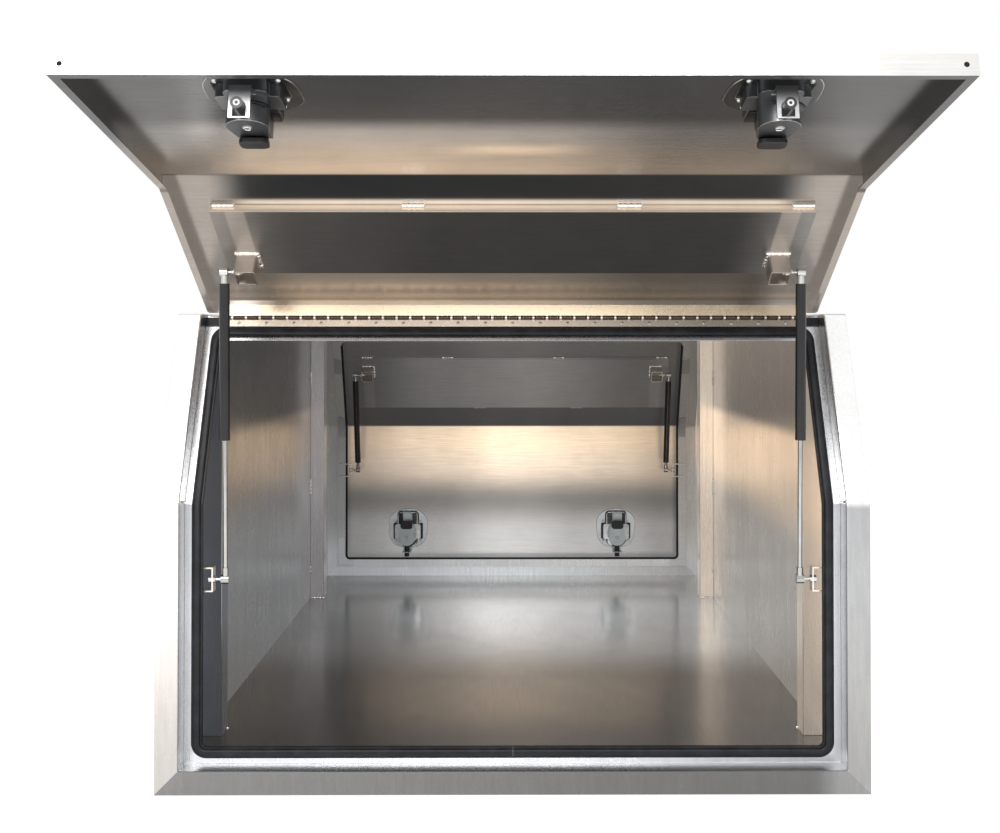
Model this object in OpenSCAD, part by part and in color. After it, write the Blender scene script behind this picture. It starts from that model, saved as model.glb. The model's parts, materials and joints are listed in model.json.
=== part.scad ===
// Canopy toolbox: a folded sheet cabinet with a lift-up door at the front and at the rear.
// Millimetres. +X right, +Y from the front door to the rear door, +Z up.
// Origin at the centre of the underside. The front door stands open, the rear door is closed.

/* [Body] */
// Width over the two end walls
body_w = 1200; // [900:10:1500]
// Length from the front sill to the rear sill
body_l = 1780; // [1400:10:2200]
// Height from the underside to the roof
body_h = 808; // [720:1:900]
// Height of the fold between the upright and the sloping part
fold_h = 488; // [460:1:510]
// How far the roof edge is set back behind the sill
setback = 136; // [110:1:150]
// Thickness of the folded sheet
sheet = 2.5; // [2:0.1:3]

/* [Door frame] */
// Width of the outer face round each door
face_w = 40; // [34:1:50]
// Depth of the rebate that the door closes into
rebate = 40; // [38:0.5:46]
// Distance from the rebate wall to the edge of the opening, at each side
flange_w = 31; // [28:1:38]
// Height of the opening's lower edge above the rebate floor
sill_flange = 28; // [24:1:34]
// Corner radius of the opening
corner_r = 8; // [5:1:14]
// Height of the head flange, from the roof to the opening
head_h = 48.5; // [44:0.5:54]
// Width of the rubber seal on the flange's face
seal_w = 18; // [14:0.5:19]
// Width of the rubber bulb that the door presses on
bulb_w = 13; // [9:0.5:13.5]
// How far the rubber clip reaches over the back of the flange
clip_w = 6; // [4:0.5:8]
// Gap between the closed door and the rubber bulb
bulb_gap = 0.5; // [0.3:0.1:1]

/* [Wall posts] */
// Width of a wall post, out from the wall
post_w = 40; // [30:1:50]
// Depth of a wall post, along the wall
post_d = 45; // [35:1:60]
// Distance from the sill face to the post
post_y = 278; // [240:1:320]

/* [Doors] */
// Gap between a door and the frame round it
door_gap = 3; // [2:0.5:4]
// Depth of the door's folded edge
door_d = 28; // [24:0.5:29]
// Width of the lip that stiffens the folded edge
lip_w = 12; // [8:0.5:14]
// Length of the fold along the top of the door
top_return = 25; // [22:0.5:26]
// How far each door swings
swing = 100; // [80:1:100]
// Radius of the drain holes in the lower edge
drain_r = 3.5; // [2.5:0.1:4.5]
// Distance of a drain hole from the end of the door
drain_in = 15; // [13:1:25]

/* [Stiffener] */
// Distance of the stiffener's lower edge below the middle of the slope
pan_s = 99.5; // [92:0.5:112]
// Width of the stiffener, up the slope
pan_w = 168; // [164:1:180]
// Depth of the stiffener's back below the door's outer face
pan_d = 18; // [14:0.5:24]
// Distance of each end of the stiffener from the rebate wall
pan_in = 64; // [58:1:80]
// Side of the square tubes that carry the struts
stub_w = 36; // [32:1:40]
// Depth of the square tubes' ends below the door's outer face
stub_d = 59.5; // [56:0.5:64]
// Length of the upper ball's shank, from the strut's centre line to the square tube
shank_l = 20.5; // [17:0.5:30]

/* [Hinges] */
// Radius of a hinge knuckle
knuckle_r = 3.5; // [3:0.1:4]
// Length of a hinge knuckle
knuckle_l = 12.5; // [10:0.5:25]
// Gap between two knuckles
knuckle_gap = 0.4; // [0.3:0.05:0.8]
// Radius of the hinge pin
pin_r = 1.5; // [1.2:0.1:1.8]
// Running clearance round the hinge pin
pin_fit = 0.05; // [0.02:0.01:0.1]
// Thickness of a hinge leaf
leaf_t = 1.5; // [1:0.1:1.6]
// Width of the fixed hinge leaf
leaf_w = 16; // [14:0.5:16.5]
// Width of the moving hinge leaf
door_leaf_w = 24; // [20:0.5:26]
// Distance of each hinge end from the rebate wall
hinge_in = 28; // [26:1:60]
// Spacing of the hinge rivets
rivet_pitch = 50; // [40:1:80]
// Radius of a rivet head
rivet_r = 3.2; // [2.5:0.1:4]

/* [Gas struts] */
// Distance of the strut's centre line from the rebate wall
strut_in = 66.5; // [62:0.5:72]
// Height of the lower ball
ball_h = 350; // [320:1:380]
// Distance of the lower ball behind the sill face
ball_y = 50; // [49:0.5:56]
// Distance of the upper ball above the middle of the slope
upper_s = 28; // [16:1:40]
// Depth of the upper ball below the door's outer face
upper_n = 45; // [40:0.5:47]
// Radius of the ball
ball_r = 5; // [4:0.1:5.5]
// Clearance between ball and socket
ball_fit = 0.35; // [0.3:0.05:0.6]
// Radius of the strut's cylinder
tube_r = 9; // [8:0.1:10]
// Radius of the strut's rod
rod_r = 4; // [3:0.1:5]
// Running clearance of the rod in the cylinder's end
rod_fit = 0.06; // [0.02:0.01:0.1]
// Reach of a socket along the strut, from its ball
socket_l = 20; // [17:0.5:22]
// Gap between the cylinder and the lower socket when the door is shut
tube_gap = 6; // [2:0.5:6]

/* [Latches] */
// Distance of each latch from the middle of the door
latch_x = 337; // [250:1:400]
// Height of the latch's centre
latch_z = 157; // [152:1:190]
// Width of the latch's bezel and clamp ring
bezel_w = 125; // [118:1:135]
// Height of the latch's bezel and clamp ring
bezel_h = 126; // [120:1:136]
// Width of the recess
dish_w = 83; // [78:1:86]
// Height of the recess
dish_h = 107; // [102:1:108]
// Depth of the recess
dish_d = 22; // [18:0.5:24]
// Width of the recess behind the handle's pin
dish_top_w = 64; // [58:1:66]
// Width of the recess below the grip
dish_low_w = 56; // [50:1:62]
// Height of the recess beside the grip
dish_mid_h = 47; // [43:0.5:48]
// Distance of the handle's pin above the latch's centre
pivot_w = 30; // [28:0.5:32]
// Width of the handle's stem
stem_w = 24; // [20:1:25]
// Width of the handle's tail
tail_w = 66; // [58:1:72]
// Distance of the ring's screws from the latch's middle
screw_x = 40; // [37:0.5:42]
// Radius of the round end of the latch's case
case_r = 27; // [24:0.5:30]
// Width of the knob on the case
knob_w = 38; // [32:1:42]
// Height of the knob on the case
knob_h = 26; // [22:1:28]
// Depth of the bolt below the door's outer face
bolt_n = 50; // [49.5:0.5:54]
// Radius of the bolt
bolt_r = 5; // [4:0.1:5.2]
// Radius of the rubber sleeve on the bolt
sleeve_r = 7.7; // [7:0.1:7.8]
// Length of the rubber sleeve
sleeve_l = 36; // [30:1:40]
// Distance from the latch's centre to the drawn bolt's tip
bolt_tip = 83; // [79:0.5:84]
// Angle that the handle lifts through
handle_lift = 45; // [30:1:60]
// Running clearance of bolts and handles
latch_fit = 0.35; // [0.3:0.05:0.5]

/* [Hidden] */
$fn = 48;

// Slope of the upper part, from the upright
lean = atan2(setback, body_h - fold_h);
// Half width between the rebate walls
rebate_x = body_w / 2 - face_w;
// Half width of the opening
open_x = rebate_x - flange_w;
// Lower and upper edge of the opening
open_z0 = face_w + sill_flange;
open_z1 = body_h - head_h;
// Thickness of the rubber that wraps the flange's edge
wrap_t = 3;
// Half width of a door
door_x = rebate_x - door_gap;
// Lower edge of a door
door_z = face_w + door_gap;
// Height of the hinge axis, with its leaf flat under the door's top fold
hinge_z = body_h - sheet - knuckle_r;
// Depth of the hinge axis below the frame's outer face, with its leaf flat on the flange
hinge_n = rebate - sheet - knuckle_r;
hinge_y = face_y(hinge_z, hinge_n);
// Lower edge of the hinge's fixed leaf, and of the seal that runs just below it
leaf_z = hinge_z - leaf_w * cos(lean) - knuckle_r * sin(lean);
seal_z1 = leaf_z - 0.4 - seal_w;
// Free edge of the door's top fold
return_y = setback + top_return;
// Half the length of the slope
mid_s = norm([setback, body_h - fold_h]) / 2;
// Half width between the struts' centre lines
strut_x = rebate_x - strut_in;
// Half length of a hinge: an odd number of knuckles
knuckles = 2 * floor((rebate_x - hinge_in) / knuckle_l) + 1;
hinge_x = knuckles * knuckle_l / 2;
// Radius of a socket, round its ball
socket_r = ball_r + 3;
// Wall of the strut's cylinder
tube_wall = 1.5;
// Depth, radius and running clearance of the handle's pin
pivot_n = 8;
pivot_r = 2.5;
pivot_fit = 0.1;
// Wall of a latch's pressed dish
dish_t = 1.5;
// Depth of the latch's body below the door's outer face
housing_n = bolt_n + sleeve_r + latch_fit + 1.5;
// Clearance round a dish in the door's hole
dish_gap = 2;
// Middle of the recess beside the grip, from the latch's centre
dish_mid_y = -9.5;
// Heights of the recess behind the pin and below the grip
dish_top_h = 48;
dish_low_h = 44;
// Height of a screw head
screw_h = 2.4;

// Height at which a line parallel to the front, d behind it, folds
function fold_z(d) = fold_h - d * tan(lean / 2);
// Distance behind the sill face of that line at height z
function face_y(z, d) = z <= fold_z(d) ? d : d + (z - fold_z(d)) * tan(lean);
// Place s up the slope from the fold and n below the outer face
function slope_point(s, n) = [s * sin(lean) + n * cos(lean), fold_h + s * cos(lean) - n * sin(lean)];
// A point turned about the hinge axis, opening the door by angle a
function opened(p, a) = let (u = p - [hinge_y, hinge_z])
    [hinge_y, hinge_z] + [u[0] * cos(a) + u[1] * sin(a), u[1] * cos(a) - u[0] * sin(a)];
// Outline of a latch: widest above its middle, round above that and squarer below
function shield_point(a) = let (p = sin(a) < 0 ? 0.67 : 1, mid = bezel_h / 7)
    [bezel_w / 2 * sign(cos(a)) * pow(abs(cos(a)), p),
        mid + (bezel_h / 2 - sign(sin(a)) * mid) * sign(sin(a)) * pow(abs(sin(a)), p)];

module front() translate([0, -body_l / 2, 0]) children();
module rear() mirror([0, 1, 0]) front() children();
module both_ends() { front() children(); rear() children(); }
module both_sides() { children(); mirror([1, 0, 0]) children(); }
module right_hand() children();
module left_hand() mirror([1, 0, 0]) children();
// Turn a door's part about the hinge axis
module swung(a) translate([0, hinge_y, hinge_z]) rotate([-a, 0, 0])
    translate([0, -hinge_y, -hinge_z]) children();
module front_door() front() swung(swing) children();
module rear_door() rear() children();
// Extrude an outline in Y and Z from x0 to x1
module along_x(x0, x1) translate([x0, 0, 0]) rotate([90, 0, 90]) linear_extrude(x1 - x0) children();
// Extrude an outline in X and Z from y0 to y1
module along_y(y0, y1) translate([0, y1, 0]) rotate([90, 0, 0]) linear_extrude(y1 - y0) children();
// Axes on the door: x across, y up the panel, z outwards
module on_slope() translate([0, 0, fold_h]) rotate([90 - lean, 0, 0]) children();
module on_upright() rotate([90, 0, 0]) children();
// A slab from depth n0 to depth n1 below the outer face
module slab(n0, n1) translate([0, 0, -n1]) linear_extrude(n1 - n0) children();

module band(d0, d1, z0, z1)
    polygon([[face_y(z0, d0), z0], [d0, fold_z(d0)], [face_y(z1, d0), z1],
        [face_y(z1, d1), z1], [d1, fold_z(d1)], [face_y(z0, d1), z0]]);

module rounded_square(w, h, r) {
    square([w - 2 * r, h], center = true);
    square([w, h - 2 * r], center = true);
    for (sx = [-1, 1], sy = [-1, 1]) translate([sx * (w / 2 - r), sy * (h / 2 - r)]) circle(r);
}

// The outline inside the seal, from the sill up to z1, grown by u all round
module opening(u, z1) translate([0, (open_z0 + z1) / 2])
    rounded_square(2 * (open_x + u), z1 - open_z0 + 2 * u, corner_r + u);

module seal_ring(u0, u1) difference() { opening(u1, seal_z1); opening(u0, seal_z1); }

// The hole in the flange: its edge is wrapped at the sides and the sill, and bare at the head
module flange_hole() opening(wrap_t, open_z1 - wrap_t);

module shield() polygon([for (a = [0:7.5:352.5]) shield_point(a)]);

// Outline of a latch's recess, grown by g
module tub(g = 0) {
    translate([0, dish_mid_y]) rounded_square(dish_w + 2 * g, dish_mid_h + 2 * g, 6 + g);
    translate([0, (dish_h - dish_top_h) / 2]) rounded_square(dish_top_w + 2 * g, dish_top_h + 2 * g, 10 + g);
    translate([0, (dish_low_h - dish_h) / 2]) rounded_square(dish_low_w + 2 * g, dish_low_h + 2 * g, 12 + g);
}

// Hole for a latch in the door, with room beside the recess
module latch_hole() {
    tub(dish_gap);
    translate([0, dish_mid_y]) rounded_square(dish_w + 11, dish_mid_h + 2 * dish_gap, 4);
}

// Cabinet

module floor_panel() color("silver")
    translate([-body_w / 2 + sheet, -body_l / 2 + sheet, 0])
        cube([body_w - 2 * sheet, body_l - 2 * sheet, sheet]);

module roof_panel() {
    notch = face_y(body_h - sheet, rebate - sheet);
    color("silver") translate([0, 0, body_h - sheet]) linear_extrude(sheet) {
        square([2 * rebate_x, body_l - 2 * notch], center = true);
        for (s = [-1, 1]) translate([s * (body_w - face_w) / 2, 0])
            square([face_w, body_l - 2 * setback], center = true);
    }
}

module end_wall() {
    side = [[sheet, 0], [sheet, fold_z(sheet)], [face_y(body_h - sheet, sheet), body_h - sheet]];
    color("gainsboro") front() along_x(body_w / 2 - sheet, body_w / 2)
        polygon(concat(side, [for (i = [2:-1:0]) [body_l - side[i][0], side[i][1]]]));
}
module left_wall() left_hand() end_wall();
module right_wall() right_hand() end_wall();

module frame() {
    top = body_h - sheet;
    both_sides() {
        along_x(rebate_x, body_w / 2) band(0, sheet, 0, top);
        along_x(rebate_x, rebate_x + sheet) band(0, rebate, face_w - sheet, top);
    }
    translate([-body_w / 2, 0, 0]) cube([body_w, sheet, face_w]);
    translate([-rebate_x - sheet, 0, face_w - sheet]) cube([2 * (rebate_x + sheet), rebate, sheet]);
    difference() {
        along_x(-rebate_x - sheet, rebate_x + sheet) band(rebate - sheet, rebate, face_w - sheet, top);
        along_y(0, body_l / 4) flange_hole();
    }
}
module front_frame() color("lightgray") front() frame();
module rear_frame() color("lightgray") rear() frame();

// Plates welded behind the frame's corners and folds
module corner_gussets() {
    edge = clip_w + 1;
    leg = 90;
    fold_leg = 34;
    upper_z = fold_h + 0.61 * (body_h - fold_h);
    color("silver") both_ends() both_sides() {
        along_y(rebate, rebate + sheet) difference() {
            translate([open_x - 20, face_w + 2]) square([flange_w + 19, leg]);
            opening(edge, open_z1);
        }
        along_x(open_x + edge, rebate_x - 1)
            band(rebate, rebate + sheet, fold_h - fold_leg, fold_h + fold_leg);
        along_x(open_x + edge, rebate_x - 1) intersection() {
            band(rebate, rebate + sheet, face_w, body_h - sheet);
            translate([0, upper_z - 24]) square([body_l / 4, 48]);
        }
    }
}

module wall_posts() color("silver") both_ends() both_sides()
    translate([body_w / 2 - sheet - post_w, post_y, sheet]) linear_extrude(body_h - 2 * sheet) {
        square([sheet, post_d]);
        square([post_w, sheet]);
        translate([0, post_d - sheet]) square([post_w, sheet]);
    }

// The part of an outline's run round the opening that lies between depths d0 and d1
module round_opening(d0, d1, z1) intersection() {
    along_x(-rebate_x, rebate_x) band(d0, d1, 0, z1);
    along_y(0, body_l / 4) children();
}

// Rubber edging: a bulb on a flat base all round, clipped over the flange's edge up to the head
module seal() {
    front_n = door_d + bulb_gap;
    back_n = rebate + 1.6;
    base_n = (front_n + rebate - sheet) / 2;
    side = (seal_w - bulb_w) / 2;
    top = body_h - sheet;
    clip_top = open_z1 - corner_r - wrap_t;
    round_opening(front_n, rebate - sheet, top) seal_ring(side, side + bulb_w);
    round_opening(base_n, rebate - sheet, top) seal_ring(0, seal_w);
    round_opening(base_n, back_n, clip_top) seal_ring(0, wrap_t);
    round_opening(rebate, back_n, clip_top) seal_ring(0, clip_w);
}
module front_seal() color("dimgray") front() seal();
module rear_seal() color("dimgray") rear() seal();

// Hinges: knuckles alternate between the two leaves, on one long pin

module knuckle_row(odd) for (i = [odd:2:knuckles - 1])
    translate([-hinge_x + i * knuckle_l + knuckle_gap / 2, 0, 0]) rotate([90, 0, 90])
        linear_extrude(knuckle_l - knuckle_gap) children();

// A leaf that lies towards -Y with its face at knuckle_r, seen along the pin
module leaf(width, odd, end_trim = 0) difference() {
    union() {
        translate([-hinge_x + end_trim, -width, knuckle_r - leaf_t])
            cube([2 * (hinge_x - end_trim), width - knuckle_r - 0.7, leaf_t]);
        knuckle_row(odd) {
            circle(knuckle_r);
            translate([-knuckle_r - 1, knuckle_r - leaf_t]) square([knuckle_r + 1, leaf_t]);
        }
    }
    translate([-hinge_x - 1, 0, 0]) rotate([0, 90, 0]) cylinder(h = 2 * hinge_x + 2, r = pin_r + pin_fit);
}

module at_hinge() translate([0, hinge_y, hinge_z]) children();
module fixed_leaf() color("whitesmoke") at_hinge()
    rotate([90 - lean, 0, 0]) mirror([0, 0, 1]) leaf(leaf_w, 0);
module door_leaf() color("whitesmoke") at_hinge() leaf(door_leaf_w, 1);
module front_hinge_fixed_leaf() front() fixed_leaf();
module rear_hinge_fixed_leaf() rear() fixed_leaf();
module front_hinge_door_leaf() front_door() door_leaf();
module rear_hinge_door_leaf() rear_door() door_leaf();

module hinge_pins() color("silver") both_ends() at_hinge()
    translate([-hinge_x, 0, 0]) rotate([0, 90, 0]) cylinder(h = 2 * hinge_x, r = pin_r);

module frame_rivets() {
    count = floor((hinge_x - 10) / rivet_pitch);
    down = (leaf_w + knuckle_r + 0.7) / 2;
    color("silver") both_ends() at_hinge() rotate([90 - lean, 0, 0])
        for (i = [-count:count]) translate([i * rivet_pitch, -down, leaf_t - knuckle_r])
            cylinder(h = 1.4, r1 = rivet_r, r2 = rivet_r * 0.55, $fn = 24);
}

// Rubber blocks that close the rebate beyond the hinge's ends
module hinge_end_rubbers() color("dimgray") both_ends() both_sides()
    at_hinge() rotate([90 - lean, 0, 0])
        translate([hinge_x + 0.5, -leaf_w, -knuckle_r]) cube([rebate_x - hinge_x - 1, leaf_w, 3]);

// Gas struts

lower_ball = [ball_y, ball_h];
upper_shut = slope_point(mid_s + upper_s, upper_n);
upper_open = opened(upper_shut, swing);
function strut_angle(p) = atan2(p[1] - lower_ball[1], p[0] - lower_ball[0]);
function strut_length(p) = norm(p - lower_ball);
// Distance from the upper ball to the cylinder's lower end
tube_end = strut_length(upper_shut) - socket_l - tube_gap;
// Guide and seal in the cylinder's lower end, and the groove crimped round the cylinder above them
guide_l = 10;
crimp_up = 15;
crimp_d = 0.7;

// Channel brackets behind the flange, one for each lower ball
module strut_brackets() {
    high = 42;
    deep = 22;
    reach = strut_x + 20;
    past_clip = open_x + clip_w + 1;
    color("silver") both_ends() both_sides() difference() {
        translate([0, 0, ball_h - high / 2]) linear_extrude(high)
            polygon([[reach, rebate + 4], [past_clip, rebate + 4], [past_clip, rebate],
                [rebate_x - 7, rebate], [rebate_x - 7, rebate + deep], [reach, rebate + deep]]);
        translate([reach + sheet, rebate - 1, ball_h - high / 2 + sheet])
            cube([face_w, deep + 2, high - 2 * sheet]);
        translate([reach - 1, ball_y, ball_h]) rotate([0, 90, 0]) cylinder(h = sheet + 2, r = rod_r);
    }
}

// A ball on a shank with a collar, reaching from x0 to x1
module ball_stud(x0, x1, collar) rotate([0, 90, 0]) {
    sphere(ball_r);
    cylinder(h = x0 - strut_x, r = ball_r * 0.6);
    translate([0, 0, x0 - strut_x]) cylinder(h = collar, r = ball_r + 1.5, $fn = 6);
    translate([0, 0, x0 - strut_x]) cylinder(h = x1 - x0, r = rod_r - 0.05);
}

module lower_ball_studs() {
    web = strut_x + 20;
    color("silver") both_ends() both_sides() translate([strut_x, ball_y, ball_h]) {
        ball_stud(web - 3, web + sheet + 6, 3);
        translate([20 + sheet, 0, 0]) rotate([0, 90, 0]) cylinder(h = 5, r = ball_r + 1.5, $fn = 6);
    }
}

// Place a part whose axis is +Z from the lower ball towards the upper ball at p
module along_strut(p) translate([strut_x, ball_y, ball_h]) rotate([strut_angle(p) - 90, 0, 0]) children();

// A socket round a ball, open towards the ball's shank at side +1 or -1
module socket(side) difference() {
    union() {
        translate([-6.5, 0, 0]) rotate([0, 90, 0]) cylinder(h = 13, r = socket_r);
        cylinder(h = socket_l, r = socket_r - 2.5);
    }
    rotate([0, side * 90, 0]) {
        sphere(ball_r + ball_fit);
        cylinder(h = 7, r = ball_r * 0.86);
    }
}

module strut_rod(p) {
    piston = 6;
    reach = strut_length(upper_open) - tube_end + guide_l + 1;
    color("silver") along_strut(p) {
        socket(1);
        translate([0, 0, socket_l]) cylinder(h = reach - socket_l, r = rod_r);
        translate([0, 0, reach]) cylinder(h = piston, r = tube_r - tube_wall - 0.3);
    }
}

module strut_tube(p) {
    length = tube_end - socket_l;
    end_wall = 4;
    color("dimgray") along_strut(p) translate([0, 0, strut_length(p) - tube_end]) difference() {
        cylinder(h = length, r = tube_r);
        translate([0, 0, crimp_up]) difference() {
            cylinder(h = 2, r = tube_r + 1);
            translate([0, 0, -1]) cylinder(h = 4, r = tube_r - crimp_d);
        }
        translate([0, 0, -1]) cylinder(h = guide_l + 2, r = rod_r + rod_fit);
        translate([0, 0, guide_l]) cylinder(h = length - guide_l - end_wall, r = tube_r - tube_wall);
    }
}

// The upper socket with its ball stud, which ends just short of the square tube's side
module strut_socket(p) {
    stud = strut_x - stub_out - 0.3;
    color("silver") along_strut(p) translate([0, 0, strut_length(p)]) {
        mirror([0, 0, 1]) socket(-1);
        mirror([1, 0, 0]) rotate([0, 90, 0]) {
            sphere(ball_r);
            cylinder(h = stud, r = ball_r * 0.6);
            translate([0, 0, stud - 4]) cylinder(h = 4, r = ball_r + 1.5, $fn = 6);
        }
    }
}

module front_left_strut_rod() left_hand() front() strut_rod(upper_open);
module front_right_strut_rod() right_hand() front() strut_rod(upper_open);
module rear_left_strut_rod() left_hand() rear() strut_rod(upper_shut);
module rear_right_strut_rod() right_hand() rear() strut_rod(upper_shut);
module front_left_strut_tube() left_hand() front() strut_tube(upper_open);
module front_right_strut_tube() right_hand() front() strut_tube(upper_open);
module rear_left_strut_tube() left_hand() rear() strut_tube(upper_shut);
module rear_right_strut_tube() right_hand() rear() strut_tube(upper_shut);
module front_left_strut_socket() left_hand() front() strut_socket(upper_open);
module front_right_strut_socket() right_hand() front() strut_socket(upper_open);
module rear_left_strut_socket() left_hand() rear() strut_socket(upper_shut);
module rear_right_strut_socket() right_hand() rear() strut_socket(upper_shut);

// Doors: a folded pan with lips, hinged at the roof

module door_skin() color("lightgray") difference() {
    edge_z = fold_z(door_d) + (return_y - door_d) / tan(lean);
    union() {
        along_x(-door_x, door_x) band(0, sheet, door_z, body_h);
        both_sides() {
            along_x(door_x - sheet, door_x)
                polygon([[0, door_z], [0, fold_h], [setback, body_h], [return_y, body_h],
                    [return_y, edge_z], [door_d, fold_z(door_d)], [door_d, door_z]]);
            along_x(door_x - lip_w, door_x) band(door_d - sheet, door_d, door_z, edge_z - 1);
        }
        translate([-door_x, 0, door_z]) cube([2 * door_x, door_d, sheet]);
        translate([-door_x, door_d - sheet, door_z]) cube([2 * door_x, sheet, lip_w]);
        translate([-door_x, setback - 1, body_h - sheet]) cube([2 * door_x, top_return + 1, sheet]);
    }
    for (s = [-1, 1]) {
        translate([s * (door_x - drain_in), door_d / 2, door_z - 1]) cylinder(h = sheet + 2, r = drain_r);
        on_upright() translate([s * latch_x, latch_z, 0]) slab(-1, sheet + 1) latch_hole();
    }
}
module front_door_skin() front_door() door_skin();
module rear_door_skin() rear_door() door_skin();

// Half length of the stiffener
pan_x = rebate_x - pan_in;
// Outer side of the square tubes
stub_out = strut_x - shank_l;

// Shallow channel stitch-welded across the sloping part
module door_stiffener() color("silver") on_slope() translate([0, mid_s - pan_s, 0]) {
    slab(pan_d - sheet, pan_d) translate([-pan_x, 0]) square([2 * pan_x, pan_w]);
    for (y = [0, pan_w - sheet]) slab(sheet, pan_d) translate([-pan_x, y]) square([2 * pan_x, sheet]);
}
module front_door_stiffener() front_door() door_stiffener();
module rear_door_stiffener() rear_door() door_stiffener();

// Square tubes for the upper balls, with the end of each stud inside
module strut_mounts() color("silver") on_slope() both_sides() {
    translate([stub_out - stub_w / 2, mid_s + upper_s, 0]) slab(pan_d, stub_d) difference() {
        rounded_square(stub_w, stub_w, 4);
        rounded_square(stub_w - 2 * sheet, stub_w - 2 * sheet, 2);
    }
    translate([stub_out - sheet, mid_s + upper_s, -upper_n]) rotate([0, -90, 0]) {
        cylinder(h = 4, r = ball_r + 1.5, $fn = 6);
        cylinder(h = 9, r = rod_r);
    }
}
module front_strut_mounts() front_door() strut_mounts();
module rear_strut_mounts() rear_door() strut_mounts();

// Latches: x across, y up, z outwards, from the latch's centre on the outer face

module at_latch(x) on_upright() translate([x, latch_z, 0]) children();
module both_latches() for (s = [-1, 1]) at_latch(s * latch_x) children();

// Pressed dish with a bezel, two ears and the handle's pin
module latch_dish() {
    ear_in = 13;
    ear_t = 3;
    difference() {
        union() {
            slab(-dish_t, 0) shield();
            slab(-dish_t, dish_d) tub();
        }
        slab(-dish_t - 1, dish_d - dish_t) tub(-dish_t);
    }
    for (s = [-1, 1]) translate([s * (ear_in + ear_t / 2), pivot_w, 0]) slab(pivot_n - 5, dish_d - dish_t)
        square([ear_t, 10], center = true);
    translate([-ear_in, pivot_w, -pivot_n]) rotate([0, 90, 0]) cylinder(h = 2 * ear_in, r = pivot_r);
}
module front_latch_dishes() color("gainsboro") front_door() both_latches() latch_dish();
module rear_latch_dishes() color("gainsboro") rear_door() both_latches() latch_dish();

ring_t = 1.8;
module latch_ring() slab(sheet, sheet + ring_t) difference() {
    shield();
    latch_hole();
}
module front_latch_rings() color("whitesmoke") front_door() both_latches() latch_ring();
module rear_latch_rings() color("whitesmoke") rear_door() both_latches() latch_ring();

module latch_screws() for (y = [1, -1], s = [-1, 1])
    translate([s * screw_x, dish_mid_y + y * (dish_mid_h / 2 + 8), -sheet - ring_t - screw_h])
        cylinder(h = screw_h, r1 = 2.6, r2 = 4, $fn = 24);
module front_latch_screws() color("silver") front_door() both_latches() latch_screws();
module rear_latch_screws() color("silver") rear_door() both_latches() latch_screws();

// Body of the latch behind the dish: drop-shaped case, upper block and the bolt's guide
guide_y = -67;
module latch_housing() {
    case_y = -22;
    neck_w = 34;
    neck_y = 26;
    guide_w = 27.4;
    guide_t = 2.5;
    guide_deep = housing_n + 5;
    block = 12;
    difference() {
        union() {
            slab(dish_d, housing_n) {
                translate([0, case_y]) circle(case_r);
                polygon([[-case_r, case_y], [case_r, case_y], [neck_w / 2, neck_y], [-neck_w / 2, neck_y]]);
            }
            slab(dish_d, dish_d + block) translate([-14, neck_y - 1]) square([28, 30]);
            slab(dish_d, dish_d + 2 * block) translate([-12.5, neck_y + 3]) square([29, 24]);
            slab(dish_d, guide_deep) translate([-guide_w / 2, guide_y - guide_t]) square([guide_w, guide_t]);
            slab(dish_d, dish_d + guide_t) translate([-guide_w / 2, guide_y - guide_t])
                square([guide_w, case_y - guide_y]);
            slab(housing_n, housing_n + 1.2) translate([0, case_y]) circle(6.5);
        }
        translate([0, guide_y - guide_t - 1, -bolt_n]) rotate([-90, 0, 0]) {
            cylinder(h = sleeve_l + 4 - bolt_tip - guide_y + guide_t, r = sleeve_r + latch_fit);
            cylinder(h = neck_y - guide_y - 3, r = bolt_r + latch_fit);
        }
        translate([-sleeve_r - latch_fit, guide_y - guide_t - 1, -housing_n - 3])
            cube([2 * (sleeve_r + latch_fit), guide_t + 2, housing_n + 3 - bolt_n]);
    }
}
module front_latch_housings() color("lightgray") front_door() both_latches() latch_housing();
module rear_latch_housings() color("lightgray") rear_door() both_latches() latch_housing();

// Knob on the case
module latch_knob() translate([0, 19, 0]) {
    slab(housing_n, housing_n + 2) rounded_square(knob_w - 12, knob_h - 8, 8);
    slab(housing_n + 2, housing_n + 9) rounded_square(knob_w, knob_h, 9);
}
module front_latch_knobs() color("dimgray") front_door() both_latches() latch_knob();
module rear_latch_knobs() color("dimgray") rear_door() both_latches() latch_knob();

// Sliding bolt with a rubber sleeve and a pale core that shows at its tip
module bolt() {
    stem = 54;
    core = 0.7;
    translate([0, -bolt_tip, -bolt_n]) rotate([-90, 0, 0]) difference() {
        union() {
            cylinder(h = sleeve_l, r = sleeve_r);
            cylinder(h = sleeve_l + stem, r = bolt_r);
        }
        translate([0, 0, -1]) cylinder(h = 1 + core, r = 2);
    }
}
module front_left_bolt() color("dimgray") front_door() at_latch(-latch_x) bolt();
module front_right_bolt() color("dimgray") front_door() at_latch(latch_x) bolt();
module rear_left_bolt() color("dimgray") rear_door() at_latch(-latch_x) bolt();
module rear_right_bolt() color("dimgray") rear_door() at_latch(latch_x) bolt();

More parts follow.
